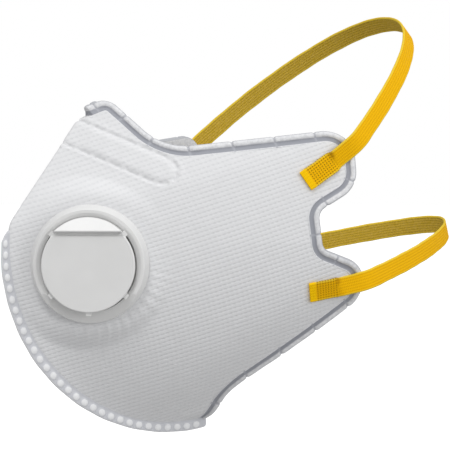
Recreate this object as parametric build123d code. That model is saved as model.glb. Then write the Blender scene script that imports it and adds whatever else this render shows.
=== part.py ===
from build123d import *
from functools import cache
from math import atan2, cos, degrees, hypot, radians, sin, sqrt, tan
import os

# A preformed, valved dust mask with two head straps. Millimetres.
# +X is the wearer's left, -Y is forward and +Z is up. The origin is midway between the
# nose point and the chin point of the edge that seals on the face.

# ---- driving dimensions ----
NOSE = (-23.4, 55.0)          # (y, z) where the nose fold meets the rim
CHIN = (23.4, -55.0)          # (y, z) where the front weld meets the rim
FOLD_ANGLE = 54.0             # slope of the straight fold over the nose, degrees
ARC_RADIUS = 64.5             # front weld arc, seen from the side
ARC_CENTRE = (11.5, 8.4)      # (y, z)

WIDTH_AXIS = 16.0             # tilt of the direction in which a panel widens, degrees
WIDTH_START_SLOPE = 0.68      # sideways growth per mm at the front
WIDTH_AT_EAR = 58.5           # sideways growth reached at EAR_REACH
EAR_REACH = 105.0
EDGE_SLOPE = 1.3              # steepest sideways growth beside the fold and the weld
BLEND_POWER = 4
CORNER_BLEND = 2.0            # rounding where fold and front weld meet

OUTER_THICK = 0.8
FILTER_THICK = 0.7
LINING_THICK = 0.5
LAYER_GAP = 0.08
FOLD_FLAT = 0.4               # the layers start this far behind the fold and the weld

RIM_WIDTH = 3.4
RIM_PROUD = 0.25
SEAM_WIDTH = 3.0
SEAM_THICK = 1.6
SEAM_LAP = 1.2

VALVE_CENTRE = (15.0, -29.7, 1.4)
VALVE_AZIMUTH = 58.0          # degrees from straight ahead towards the wearer's left
VALVE_ELEVATION = -3.0
VALVE_SINK = 0.3
FLAT_RADIUS = 21.5            # the panel is flat under the valve out to here
FLAT_FADE = 30.0
VALVE_RADIUS = 20.0
VALVE_HOLE = 14.9

STRAP_WIDTH = 6.9
STRAP_THICK = 1.0
PAD_WIDTH = 7.3
PAD_THICK = 0.8

# Outline of a panel from the side, behind the fold and weld: (y, z, corner radius).
RIM_CORNERS = [
    (-17.3, 57.75, 4.2),
    (-5.6, 40.2, 12.0),
    (50.0, 47.2, 9.5),
    (51.0, 28.2, 6.0),
    (38.2, 18.8, 4.0),
    (39.6, 6.4, 4.0),
    (58.0, -2.3, 9.5),
    (56.1, -12.2, 6.0),
    (24.4, -43.5, 14.0),
]
FRONT_MARGIN = 90.0           # how far the side outline is carried forward of the mask
NOSE_EXIT = (-45.0, 45.2)     # the rim leaves the nose towards this point
CHIN_EXIT = (22.0, -70.0)     # the rim leaves the chin towards this point

# Straps: (y, z) of the weld's inner end, (y, z) of the end where the band lifts off,
# tilt of the loop, reach, bow handle (sideways, along) and tip handle.
STRAPS = {
    "upper": dict(pad=(34.3, 29.5), pivot=(43.8, 36.2), tilt=42.0, reach=77.0,
                  start=54.8, bow=(59.5, 14.0), tip=40.0),
    "lower": dict(pad=(39.1, -8.4), pivot=(48.2, -6.7), tilt=14.0, reach=78.8,
                  start=51.2, bow=(60.0, 14.0), tip=25.0),
}

CLIP_START = (-29.5, 45.9)    # (y, z) just ahead of the fold
CLIP_END = (-10.1, 34.2)
CLIP_HALF_WIDTH = 2.5
CLIP_THICK = 0.6
CLIP_PLAY = 0.12
POCKET_HALF_WIDTH = 4.9
POCKET_RAISE = 0.9
POCKET_END_REACH = 2.0

FOAM_OUTER = 3.4              # foam strip, measured in from the rim
FOAM_INNER = 13.0
FOAM_THICK = 3.0
FOAM_BACK = 10.0
FOAM_BOTTOM = 24.0

GRID_STEP = 3.0
GRID_Y = (-66.0, 69.0)
GRID_Z = (-69.0, 66.0)
GRID_TOLERANCE = 0.5
SKIN_DEPTH = 130.0


# ---- the shape of a half panel: sideways distance x over the side view (y, z) ----
def soft_max(a, b, blend):
    return 0.5 * (a + b + sqrt((a - b) ** 2 + blend * blend))


def along_and_across(y, z):
    """Side view point in the tilted frame in which the panel widens."""
    c, s = cos(radians(WIDTH_AXIS)), sin(radians(WIDTH_AXIS))
    dy, dz = y - ARC_CENTRE[0], z - ARC_CENTRE[1]
    return dy * c + dz * s, -dy * s + dz * c


def front_edge(across):
    """Where the panel starts: the later of the weld arc and the fold line."""
    limit = 0.97
    inside = min(abs(across), limit * ARC_RADIUS)
    arc = -sqrt(ARC_RADIUS ** 2 - inside ** 2)
    arc += (abs(across) - inside) * limit / sqrt(1 - limit ** 2)
    nose_along, nose_across = along_and_across(*NOSE)
    fold = nose_along + (across - nose_across) / tan(radians(FOLD_ANGLE - WIDTH_AXIS))
    return soft_max(arc, fold, CORNER_BLEND)


def behind_fold(y, z):
    s, c = sin(radians(FOLD_ANGLE)), cos(radians(FOLD_ANGLE))
    return (y - NOSE[0]) * s - (z - NOSE[1]) * c


def behind_arc(y, z):
    return ARC_RADIUS - hypot(min(y - ARC_CENTRE[0], 0), min(z - ARC_CENTRE[1], 0))


def free_width(y, z):
    """Sideways distance of the moulded panel, before the valve flattens it."""
    along, across = along_and_across(y, z)
    reach = along - front_edge(across)
    bend = (WIDTH_START_SLOPE * EAR_REACH - WIDTH_AT_EAR) / EAR_REACH ** 3
    width = WIDTH_START_SLOPE * reach - bend * reach * reach * abs(reach)
    total = 1.0
    for room in (behind_fold(y, z), behind_arc(y, z)):
        ratio = width / (EDGE_SLOPE * room) if abs(room) > 1e-6 else 0.0
        total += min(max(ratio, 0.0), 1.5) ** BLEND_POWER
    return width / total ** (1 / BLEND_POWER)


VALVE_NORMAL = (
    sin(radians(VALVE_AZIMUTH)) * cos(radians(VALVE_ELEVATION)),
    -cos(radians(VALVE_AZIMUTH)) * cos(radians(VALVE_ELEVATION)),
    sin(radians(VALVE_ELEVATION)),
)
SEAT_CENTRE = tuple(c - VALVE_SINK * n for c, n in zip(VALVE_CENTRE, VALVE_NORMAL))


def panel_width(y, z):
    """Sideways distance of the outer face, flat where the valve is clamped."""
    width = free_width(y, z)
    dy, dz = y - SEAT_CENTRE[1], z - SEAT_CENTRE[2]
    flat = SEAT_CENTRE[0] - (VALVE_NORMAL[1] * dy + VALVE_NORMAL[2] * dz) / VALVE_NORMAL[0]
    radius = sqrt((flat - SEAT_CENTRE[0]) ** 2 + dy * dy + dz * dz)
    t = min(max((FLAT_FADE - radius) / (FLAT_FADE - FLAT_RADIUS), 0.0), 1.0)
    share = t * t * (3 - 2 * t)
    return width + share * (flat - width)


def offset_width(y, z, out):
    """Sideways distance of a face parallel to the outer face, out mm outside it."""
    step = 0.5
    slope_y = (panel_width(y + step, z) - panel_width(y - step, z)) / (2 * step)
    slope_z = (panel_width(y, z + step) - panel_width(y, z - step)) / (2 * step)
    return panel_width(y, z) + out * sqrt(1 + slope_y ** 2 + slope_z ** 2)


@cache
def under_skin(out):
    """Everything on the inner side of the panel face that is moved out by out mm."""
    rows = int((GRID_Z[1] - GRID_Z[0]) / GRID_STEP) + 1
    columns = int((GRID_Y[1] - GRID_Y[0]) / GRID_STEP) + 1
    points = []
    for i in range(columns):
        y = GRID_Y[0] + i * GRID_STEP
        zs = [GRID_Z[0] + j * GRID_STEP for j in range(rows)]
        points.append([Vector(offset_width(y, z, out), y, z) for z in zs])
    face = Face.make_surface_from_array_of_points(points, tol=GRID_TOLERANCE, min_deg=3)
    return Solid.extrude(face, Vector(-SKIN_DEPTH, 0, 0))


# ---- side outlines as prisms along x ----
SIDE = Plane(origin=(0, 0, 0), x_dir=(0, 1, 0), z_dir=(1, 0, 0))
REACH_X = 80.0


def prism(sketch):
    """A side view sketch, carried from the middle plane to the wearer's left."""
    return extrude(SIDE * sketch, amount=REACH_X, dir=(1, 0, 0))


def rim_area():
    """Everything ahead of the rim, seen from the side."""
    ahead = [(-FRONT_MARGIN, CHIN_EXIT[1]), (-FRONT_MARGIN, NOSE_EXIT[1]), NOSE_EXIT]
    corners = [(y, z) for y, z, _ in RIM_CORNERS]
    sharp = 0.01
    radii = [sharp, sharp, sharp] + [r for _, _, r in RIM_CORNERS] + [sharp]
    path = ahead + corners + [CHIN_EXIT]
    return make_face(FilletPolyline(*path, radius=radii, close=True))


def front_area():
    """Everything behind the fold and the weld arc, seen from the side."""
    fold = radians(FOLD_ANGLE)
    along, inward = (cos(fold), sin(fold)), (sin(fold), -cos(fold))
    far = 200.0
    start = [NOSE[k] + FOLD_FLAT * inward[k] for k in (0, 1)]
    line = [
        (start[0] - far * along[0], start[1] - far * along[1]),
        (start[0] + far * along[0], start[1] + far * along[1]),
        (start[0] + far * (along[0] + inward[0]), start[1] + far * (along[1] + inward[1])),
        (start[0] + far * (inward[0] - along[0]), start[1] + far * (inward[1] - along[1])),
    ]
    behind = make_face(Polyline(*line, close=True))
    radius = ARC_RADIUS - FOLD_FLAT
    disc = Pos(*ARC_CENTRE) * Circle(radius)
    above = Pos(*ARC_CENTRE) * Rectangle(2 * radius, far, align=(Align.CENTER, Align.MIN))
    back = Pos(*ARC_CENTRE) * Rectangle(far, far, align=(Align.MIN, Align.CENTER))
    low = Pos(0, CHIN[1] - 30) * Rectangle(2 * far, 60, align=(Align.CENTER, Align.CENTER))
    return behind & (disc + above + (back - low))


def left_half(outline, outside, inside):
    """The wearer's left half of a layer between two faces parallel to the panel."""
    return (prism(outline) & under_skin(outside)) - under_skin(inside)


def both_halves(solid):
    return solid + mirror(solid, about=Plane.YZ)


def capsule(start, end, half_width):
    """Side view strip with a round end."""
    dy, dz = end[0] - start[0], end[1] - start[1]
    length = hypot(dy, dz)
    strip = Pos(length / 2, 0) * Rectangle(length, 2 * half_width)
    strip += Pos(length, 0) * Circle(half_width)
    return Pos(*start) * Rot(0, 0, degrees(atan2(dz, dy))) * strip


RIM_AREA = rim_area()
FRONT_AREA = front_area()
INNER_RIM = offset(RIM_AREA, amount=-RIM_WIDTH)
PANEL = RIM_AREA & FRONT_AREA
WEB = INNER_RIM & FRONT_AREA


# ---- the exhalation valve, in its own frame: z out of the panel, y up ----
VALVE = Plane(
    origin=SEAT_CENTRE,
    x_dir=(cos(radians(VALVE_AZIMUTH)), sin(radians(VALVE_AZIMUTH)), 0),
    z_dir=VALVE_NORMAL,
)
FLOOR_TOP = 0.7
SEAT_TOP = 1.5
SEAT_OUTER = 12.4
SEAT_INNER = 11.2
SPOKE_WIDTH = 1.6
COLLAR_OUTER = 14.6
COLLAR_INNER = 13.0
COLLAR_DEPTH = 4.4
LIP_OUTER = 15.3
LIP_THICK = 0.6
WALL_TOP = 5.2
WALL_INNER = 16.05
BEVEL_WIDTH = 1.5             # sloping inner edge of the wall's crown
BEVEL_DROP = 0.6
WALL_OUTER_TOP = 18.7
OUTLET_Y = -9.5               # below here the wall slopes down, where the breath leaves
OUTLET_SLOPE = 18.0
SHELL_DEPTH = OUTER_THICK + FILTER_THICK + LINING_THICK + 2 * LAYER_GAP
RING_OUTER = 19.0
RING_THICK = 1.3
RING_GAP = 0.2                # room between the lining and the trapped ring
FLAP_RADIUS = 12.6
FLAP_THICK = 0.4
FLAP_GAP = 0.15
HINGE_Y = 8.0                 # the flap bends here, under the middle of the clamp
FLAP_CUT_Y = 8.8              # the flap is straight along the edge it hangs from
CLAMP_WIDTH = 14.0
CLAMP_DEPTH = 1.6
CLAMP_HEIGHT = 1.2
LAND_DEPTH = 2.4
POST_RADIUS = 0.7
POST_SPREAD = 4.5
CAP_RADIUS = 15.7
CAP_TOP = 7.2
CAP_THICK = 1.2
CAP_LEG_ANGLES = (41, -39, -90, -141, 139)
CAP_LEG_WIDTH = 2.6
CAP_LEG_DEPTH = 2.5
CAP_LEG_RADIUS = 14.6
LUG_REACH = 16.8
LUG_WIDTH = 1.8
LUG_THICK = 1.0
HOOD_Y = 11.3
HOOD_TOP = 8.9
HOOD_EDGE_TOP = 5.7
HOOD_RADIUS = 16.1
SLOT_Y = 9.9                  # recess across the disc, below the hood's edge
SLOT_DEPTH = 0.8
CUTTER = 80.0


def tube(outer, inner, bottom, top):
    ring = Cylinder(outer, top - bottom) - Cylinder(inner, top - bottom)
    return Pos(0, 0, (bottom + top) / 2) * ring


def disc(radius, bottom, top):
    return Pos(0, 0, (bottom + top) / 2) * Cylinder(radius, top - bottom)


def half_space(*sides):
    """A block wider than the valve, on the given sides of its origin."""
    return Box(CUTTER, CUTTER, CUTTER, align=sides)


def make_valve_base():
    """Round housing: sloping wall, floor with a spoked window, seat and collar."""
    profile = [
        (WALL_INNER, LAYER_GAP), (VALVE_RADIUS, LAYER_GAP), (VALVE_RADIUS, 1.0),
        (WALL_OUTER_TOP, WALL_TOP), (WALL_INNER + BEVEL_WIDTH, WALL_TOP),
        (WALL_INNER, WALL_TOP - BEVEL_DROP),
    ]
    wall = revolve(make_face(Plane.XZ * Polyline(*profile, close=True)), Axis.Z)
    crown = wall.edges().filter_by(GeomType.CIRCLE).group_by(Axis.Z)[-1]
    wall = fillet(crown.sort_by(SortBy.RADIUS)[-1:], 0.5)
    above = half_space(Align.CENTER, Align.MAX, Align.MIN)
    wall -= Pos(0, OUTLET_Y, WALL_TOP) * Rot(OUTLET_SLOPE, 0, 0) * above
    base = wall + tube(WALL_INNER, SEAT_INNER, LAYER_GAP, FLOOR_TOP)
    base += tube(SEAT_OUTER, SEAT_INNER, LAYER_GAP, SEAT_TOP)
    spoke = Box(2 * SEAT_INNER + 1, SPOKE_WIDTH, FLOOR_TOP - LAYER_GAP)
    for turn in (0, 60, 120):
        base += Pos(0, 0, (FLOOR_TOP + LAYER_GAP) / 2) * Rot(0, 0, turn) * spoke
    base += tube(COLLAR_OUTER, COLLAR_INNER, -COLLAR_DEPTH, FLOOR_TOP)
    base += tube(LIP_OUTER, COLLAR_INNER, -COLLAR_DEPTH, -COLLAR_DEPTH + LIP_THICK)
    land = Box(CLAMP_WIDTH, LAND_DEPTH, SEAT_TOP - LAYER_GAP)
    base += Pos(0, HINGE_Y, (SEAT_TOP + LAYER_GAP) / 2) * land
    for side in (-1, 1):
        post_top = SEAT_TOP + FLAP_GAP + FLAP_THICK + CLAMP_HEIGHT
        post = disc(POST_RADIUS, SEAT_TOP - 0.2, post_top)
        base += Pos(side * POST_SPREAD, HINGE_Y, 0) * post
    return base


def make_flap_clamp():
    """Bar pressed on two posts, which pins the upper edge of the flap."""
    bottom = SEAT_TOP + 2 * FLAP_GAP + FLAP_THICK
    top = SEAT_TOP + FLAP_GAP + FLAP_THICK + CLAMP_HEIGHT
    bar = Box(CLAMP_WIDTH, CLAMP_DEPTH, top - bottom)
    bar = fillet(bar.edges().filter_by(Axis.Z), 0.5)
    bar = Pos(0, HINGE_Y, (top + bottom) / 2) * bar
    for side in (-1, 1):
        bar -= Pos(side * POST_SPREAD, HINGE_Y, 0) * disc(POST_RADIUS, bottom - 1, top + 1)
    return bar


def make_valve_flap():
    """Thin rubber disc, cut straight where it hangs and slotted round the posts."""
    bottom = SEAT_TOP + FLAP_GAP
    flap = disc(FLAP_RADIUS, bottom, bottom + FLAP_THICK)
    flap &= Pos(0, FLAP_CUT_Y, 0) * half_space(Align.CENTER, Align.MAX, Align.CENTER)
    for side in (-1, 1):
        slot = Box(2 * POST_RADIUS + 0.5, 2 * CLAMP_DEPTH, 10)
        flap -= Pos(side * POST_SPREAD, HINGE_Y, 0) * slot
    return flap


def make_valve_inner_ring():
    """Ring inside the mask, trapped between the lining and the collar's lip."""
    top = -SHELL_DEPTH - RING_GAP
    ring = tube(RING_OUTER, COLLAR_OUTER + 0.1, top - RING_THICK, top)
    low = ring.edges().filter_by(GeomType.CIRCLE).group_by(Axis.Z)[0]
    return fillet(low.sort_by(SortBy.RADIUS)[-1:], 0.5)


def make_valve_cap():
    """Cover disc on five legs with lugs over the wall, and a hood on its upper edge."""
    plate = disc(CAP_RADIUS, CAP_TOP - CAP_THICK, CAP_TOP)
    plate = fillet(plate.edges().group_by(Axis.Z)[-1], 0.45)
    slot = Box(2 * CAP_RADIUS, HOOD_Y - SLOT_Y, 2 * SLOT_DEPTH)
    plate -= Pos(0, (HOOD_Y + SLOT_Y) / 2, CAP_TOP) * slot
    plate &= Pos(0, HOOD_Y + SLOT_DEPTH, 0) * half_space(Align.CENTER, Align.MAX, Align.CENTER)
    hood_bottom = WALL_TOP + LAYER_GAP
    hood = disc(HOOD_RADIUS, hood_bottom, HOOD_TOP)
    hood &= Pos(0, HOOD_Y, 0) * half_space(Align.CENTER, Align.MIN, Align.CENTER)
    drop = degrees(atan2(HOOD_TOP - HOOD_EDGE_TOP, HOOD_RADIUS - HOOD_Y))
    over = half_space(Align.CENTER, Align.CENTER, Align.MIN)
    hood -= Pos(0, HOOD_Y, HOOD_TOP) * Rot(-drop, 0, 0) * over
    hood = fillet(hood.edges().filter_by(Axis.X).group_by(Axis.Z)[-1], 0.4)
    cap = plate + hood
    for angle in CAP_LEG_ANGLES:
        height = CAP_TOP - 0.5 - FLOOR_TOP - LAYER_GAP
        leg = Box(CAP_LEG_DEPTH, CAP_LEG_WIDTH, height)
        leg = fillet(leg.edges().filter_by(Axis.Z), 0.4)
        leg = Pos(CAP_LEG_RADIUS, 0, FLOOR_TOP + LAYER_GAP + height / 2) * leg
        lug = Box(LUG_REACH - CAP_LEG_RADIUS, LUG_WIDTH, LUG_THICK)
        lug_bottom = WALL_TOP + 2 * LAYER_GAP
        leg += Pos((LUG_REACH + CAP_LEG_RADIUS) / 2, 0, lug_bottom + LUG_THICK / 2) * lug
        cap += Rot(0, 0, angle) * leg
    return cap


# ---- layers of the mask body ----
def valve_hole():
    return VALVE * Cylinder(VALVE_HOLE, 30)


def make_outer_shell():
    """Outer web, with the raised pocket that holds the nose clip."""
    shell = left_half(WEB, 0.0, -OUTER_THICK)
    direction = Vector(CLIP_END[0] - CLIP_START[0], CLIP_END[1] - CLIP_START[1]).normalized()
    pocket_end = (CLIP_END[0] + POCKET_END_REACH * direction.X,
                  CLIP_END[1] + POCKET_END_REACH * direction.Y)
    pocket = capsule(CLIP_START, pocket_end, POCKET_HALF_WIDTH) & WEB
    room = capsule(CLIP_START, CLIP_END, CLIP_HALF_WIDTH + CLIP_PLAY) & WEB
    shell += left_half(pocket, POCKET_RAISE, -0.2)
    shell -= left_half(room, CLIP_THICK - OUTER_THICK + CLIP_PLAY, -OUTER_THICK - 0.02)
    return both_halves(shell) - valve_hole()


def make_nose_clip():
    strip = capsule(CLIP_START, CLIP_END, CLIP_HALF_WIDTH) & WEB
    top = CLIP_THICK - OUTER_THICK
    return both_halves(left_half(strip, top, top - CLIP_THICK))


def make_filter_layer():
    top = -OUTER_THICK - LAYER_GAP
    return both_halves(left_half(WEB, top, top - FILTER_THICK)) - valve_hole()


def make_inner_lining():
    top = -OUTER_THICK - FILTER_THICK - 2 * LAYER_GAP
    return both_halves(left_half(WEB, top, top - LINING_THICK)) - valve_hole()


def make_rim_weld():
    """Fused edge of all the layers along the face opening."""
    return both_halves(left_half(PANEL - WEB, RIM_PROUD, -SHELL_DEPTH))


def make_front_weld_seam():
    """Flat fin where the two panels are welded together, from the tip to the chin."""
    ring = Circle(ARC_RADIUS + SEAM_WIDTH) - Circle(ARC_RADIUS - SEAM_LAP)
    ring = Pos(*ARC_CENTRE) * ring
    ahead = [(-FRONT_MARGIN, -FRONT_MARGIN), (-FRONT_MARGIN, 11.0), (-45.0, 11.0),
             (CHIN[0] - 1.2, CHIN[1] + 12), (CHIN[0] - 1.2, -FRONT_MARGIN)]
    fin = ring & make_face(Polyline(*ahead, close=True))
    plate = extrude(SIDE * fin, amount=SEAM_THICK / 2, dir=(1, 0, 0))
    plate -= prism(PANEL) & under_skin(RIM_PROUD + LAYER_GAP)
    return both_halves(plate)


def make_nose_foam():
    """Foam strip inside, along the rim over the nose."""
    strip = offset(RIM_AREA, amount=-FOAM_OUTER) - offset(RIM_AREA, amount=-FOAM_INNER)
    window = Pos(FOAM_BACK, FOAM_BOTTOM) * Rectangle(100, 60, align=(Align.MAX, Align.MIN))
    top = -SHELL_DEPTH - LAYER_GAP
    return both_halves(left_half(strip & window & FRONT_AREA, top, top - FOAM_THICK))


# ---- head straps ----
def make_strap_end(spec):
    """Flat welded end of a strap on the wearer's left tab."""
    past = 1.0
    (y0, z0), (y1, z1) = spec["pad"], spec["pivot"]
    length = hypot(y1 - y0, z1 - z0)
    pad = Rectangle(length + past, PAD_WIDTH, align=(Align.MIN, Align.CENTER))
    pad = fillet(pad.vertices(), 0.8)
    pad = Pos(y0, z0) * Rot(0, 0, degrees(atan2(z1 - z0, y1 - y0))) * pad
    return left_half(pad, PAD_THICK + LAYER_GAP, LAYER_GAP)


def make_strap_band(spec):
    """Loop of braided elastic between its two welds, at its free length."""
    half = STRAP_THICK / 2
    edges = []
    for grow in (half, -half):
        points = [
            (spec["start"] + grow, 0),
            (spec["bow"][0] + grow, spec["bow"][1]),
            (spec["tip"], spec["reach"] + grow),
            (0, spec["reach"] + grow),
        ]
        edges.append([Bezier(*points), Bezier(*[(-x, s) for x, s in points])])
    (outer_left, outer_right), (inner_left, inner_right) = edges
    ends = [Line(e @ 0, f @ 0) for e, f in ((outer_left, inner_left), (outer_right, inner_right))]
    section = make_face([outer_left, outer_right, inner_left, inner_right] + ends)
    tilt = radians(spec["tilt"])
    plane = Plane(origin=(0, *spec["pivot"]), x_dir=(1, 0, 0), z_dir=(0, -sin(tilt), cos(tilt)))
    return plane * extrude(section, amount=STRAP_WIDTH / 2, both=True)


def build_parts():
    parts = {
        "outer_shell": make_outer_shell(),
        "filter_layer": make_filter_layer(),
        "inner_lining": make_inner_lining(),
        "rim_weld": make_rim_weld(),
        "front_weld_seam": make_front_weld_seam(),
        "nose_clip": make_nose_clip(),
        "nose_foam": make_nose_foam(),
        "valve_base": VALVE * make_valve_base(),
        "valve_inner_ring": VALVE * make_valve_inner_ring(),
        "valve_flap": VALVE * make_valve_flap(),
        "flap_clamp": VALVE * make_flap_clamp(),
        "valve_cap": VALVE * make_valve_cap(),
    }
    for name, spec in STRAPS.items():
        end = make_strap_end(spec)
        parts[f"{name}_strap_end_left"] = end
        parts[f"{name}_strap_end_right"] = mirror(end, about=Plane.YZ)
        parts[f"{name}_strap"] = make_strap_band(spec)
    return parts


os.makedirs("parts", exist_ok=True)
for part_name, part in build_parts().items():
    export_step(part, f"parts/{part_name}.step")
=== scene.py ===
import bmesh
import bpy
import math
import numpy as np
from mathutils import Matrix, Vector, geometry


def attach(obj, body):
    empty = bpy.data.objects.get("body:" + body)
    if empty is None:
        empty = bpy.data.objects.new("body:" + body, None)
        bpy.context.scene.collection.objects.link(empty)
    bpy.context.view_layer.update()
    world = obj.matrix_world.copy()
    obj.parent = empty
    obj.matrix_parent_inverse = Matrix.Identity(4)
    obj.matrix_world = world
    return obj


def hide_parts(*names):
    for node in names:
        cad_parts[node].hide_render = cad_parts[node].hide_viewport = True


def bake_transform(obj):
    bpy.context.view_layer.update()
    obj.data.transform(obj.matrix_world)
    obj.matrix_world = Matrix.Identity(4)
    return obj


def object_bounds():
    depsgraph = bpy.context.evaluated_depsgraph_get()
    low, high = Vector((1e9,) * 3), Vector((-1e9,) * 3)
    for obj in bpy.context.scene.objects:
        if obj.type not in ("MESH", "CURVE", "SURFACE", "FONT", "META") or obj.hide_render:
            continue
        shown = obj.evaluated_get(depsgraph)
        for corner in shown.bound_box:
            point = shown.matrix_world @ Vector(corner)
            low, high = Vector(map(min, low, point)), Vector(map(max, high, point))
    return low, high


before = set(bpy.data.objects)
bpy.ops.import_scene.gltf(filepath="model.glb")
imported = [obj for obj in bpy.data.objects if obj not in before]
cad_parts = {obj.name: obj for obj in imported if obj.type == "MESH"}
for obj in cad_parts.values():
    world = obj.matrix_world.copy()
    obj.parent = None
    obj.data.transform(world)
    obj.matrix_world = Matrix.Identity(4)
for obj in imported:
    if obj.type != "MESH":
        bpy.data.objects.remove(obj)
cad_low, cad_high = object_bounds()
MM = 0.001

# ---------------------------------------------------------------- shape of a half panel, mm
NOSE = (-23.4, 55.0)
FOLD_ANGLE = math.radians(54.0)
ARC_RADIUS = 64.5
CHIN_ANGLE = math.radians(79.4)   # the arc ends this far below the level line
ARC_CENTRE = np.array([11.5, 8.4])
WIDTH_AXIS = math.radians(16.0)
WIDTH_START_SLOPE = 0.68
WIDTH_AT_EAR = 58.5
EAR_REACH = 105.0
EDGE_SLOPE = 1.3
CORNER_BLEND = 2.0
VALVE_AZIMUTH = math.radians(58.0)
VALVE_ELEVATION = math.radians(-3.0)
VALVE_NORMAL = np.array([
    math.sin(VALVE_AZIMUTH) * math.cos(VALVE_ELEVATION),
    -math.cos(VALVE_AZIMUTH) * math.cos(VALVE_ELEVATION),
    math.sin(VALVE_ELEVATION),
])
SEAT_CENTRE = np.array([15.0, -29.7, 1.4]) - 0.3 * VALVE_NORMAL
VALVE_X = np.array([math.cos(VALVE_AZIMUTH), math.sin(VALVE_AZIMUTH), 0.0])
VALVE_Y = np.cross(VALVE_NORMAL, VALVE_X)
FLAT_RADIUS = 21.5
FLAT_FADE = 30.0
VALVE_HOLE = 14.9
RIM_CORNERS = [
    (-17.3, 57.75, 4.2), (-5.6, 40.2, 12.0), (50.0, 47.2, 9.5),
    (51.3, 27.0, 10.0), (38.2, 18.8, 4.0), (40.2, 6.2, 4.0), (58.2, -0.8, 10.5),
    (56.1, -12.2, 6.0), (24.4, -43.5, 14.0),
]
PROFILE_TOP = 58.5
RIM_START = (-45.0, 45.2)
RIM_END = (22.0, -70.0)
LINE_STEP = 0.25


def smooth(t):
    t = np.clip(t, 0.0, 1.0)
    return t * t * (3 - 2 * t)


def resample(points, step):
    """Evenly spaced points along a polyline, and their distance along it."""
    points = np.asarray(points, float)
    runs = np.hypot(*np.diff(points, axis=0).T)
    at = np.concatenate([[0], np.cumsum(runs)])
    count = max(int(round(at[-1] / step)), 1) + 1
    s = np.linspace(0, at[-1], count)
    return np.stack([np.interp(s, at, points[:, k]) for k in (0, 1)], 1), s


def tangents(points):
    t = np.gradient(points, axis=0)
    return t / np.linalg.norm(t, axis=1)[:, None]


def rounded_path(start, corners, end):
    """Polyline through corners, each rounded to its own radius."""
    path = [start] + [c[:2] for c in corners] + [end]
    points = [np.array(start, float)]
    for k, (y, z, radius) in enumerate(corners):
        corner = np.array([y, z])
        back = np.array(path[k]) - corner
        ahead = np.array(path[k + 2]) - corner
        back /= np.linalg.norm(back)
        ahead /= np.linalg.norm(ahead)
        half = math.acos(np.clip(back @ ahead, -1, 1)) / 2
        middle = back + ahead
        centre = corner + middle / np.linalg.norm(middle) * radius / math.sin(half)
        first = corner + back * radius / math.tan(half) - centre
        last = corner + ahead * radius / math.tan(half) - centre
        for share in np.linspace(0, 1, 24):
            arm = (1 - share) * first + share * last
            points.append(centre + arm / np.linalg.norm(arm) * radius)
    points.append(np.array(end, float))
    return resample(points, LINE_STEP)[0]


def make_profile():
    """Front outline of a panel: the fold down from the nose, then the weld arc to the chin."""
    down = np.array([-math.cos(FOLD_ANGLE), -math.sin(FOLD_ANGLE)])
    nose = np.array([NOSE[0] + (PROFILE_TOP - NOSE[1]) / math.tan(FOLD_ANGLE), PROFILE_TOP])
    arm = nose - ARC_CENTRE
    b = arm @ down
    reach = -b + math.sqrt(b * b - arm @ arm + ARC_RADIUS ** 2)
    tip = nose + reach * down
    first = math.atan2(*(tip - ARC_CENTRE)[::-1])
    last = -CHIN_ANGLE
    turns = np.linspace(first, last + 2 * math.pi, 500)
    arc = ARC_CENTRE + ARC_RADIUS * np.stack([np.cos(turns), np.sin(turns)], 1)
    line, s = resample(np.vstack([nose[None], arc]), LINE_STEP)
    spread = int(2.2 / LINE_STEP)
    kernel = np.exp(-0.5 * (np.arange(-3 * spread, 3 * spread + 1) / spread) ** 2)
    kernel /= kernel.sum()
    soft = line.copy()
    near = np.where(abs(s - reach) < 9.0)[0]
    for i in near:
        part = line[i - 3 * spread:i + 3 * spread + 1]
        soft[i] = kernel @ part
    return soft


PROFILE = make_profile()
RIM = rounded_path(RIM_START, RIM_CORNERS, RIM_END)
TURN_IN = {"profile": np.array([[0, 1], [-1, 0]]), "rim": np.array([[0, -1], [1, 0]])}
PROFILE_IN = tangents(PROFILE) @ TURN_IN["profile"]
RIM_IN = tangents(RIM) @ TURN_IN["rim"]


def signed_distance(points, line, inward):
    """Distance from a polyline, positive on its inner side."""
    result = np.empty(len(points))
    for i in range(0, len(points), 4000):
        p = points[i:i + 4000]
        gap = ((p[:, None] - line[None]) ** 2).sum(2)
        near = gap.argmin(1)
        best = np.full(len(p), 1e9)
        for shift in (-1, 0):
            a = np.clip(near + shift, 0, len(line) - 2)
            start, run = line[a], line[a + 1] - line[a]
            t = ((p - start) * run).sum(1) / (run * run).sum(1)
            d = np.linalg.norm(p - start - np.clip(t, 0, 1)[:, None] * run, axis=1)
            best = np.minimum(best, d)
        side = ((p - line[near]) * inward[near]).sum(1)
        result[i:i + 4000] = np.where(side < 0, -best, best)
    return result


def soft_max(a, b, blend):
    return 0.5 * (a + b + np.sqrt((a - b) ** 2 + blend * blend))


def along_across(y, z):
    c, s = math.cos(WIDTH_AXIS), math.sin(WIDTH_AXIS)
    dy, dz = y - ARC_CENTRE[0], z - ARC_CENTRE[1]
    return dy * c + dz * s, -dy * s + dz * c


def front_edge(across):
    limit = 0.97
    inside = np.minimum(abs(across), limit * ARC_RADIUS)
    arc = -np.sqrt(ARC_RADIUS ** 2 - inside ** 2)
    arc = arc + (abs(across) - inside) * limit / math.sqrt(1 - limit ** 2)
    nose_along, nose_across = along_across(*NOSE)
    fold = nose_along + (across - nose_across) / math.tan(FOLD_ANGLE - WIDTH_AXIS)
    return soft_max(arc, fold, CORNER_BLEND)


def behind_fold(y, z):
    return (y - NOSE[0]) * math.sin(FOLD_ANGLE) - (z - NOSE[1]) * math.cos(FOLD_ANGLE)


def behind_arc(y, z):
    dy, dz = y - ARC_CENTRE[0], z - ARC_CENTRE[1]
    return ARC_RADIUS - np.hypot(np.minimum(dy, 0), np.minimum(dz, 0))


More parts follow.
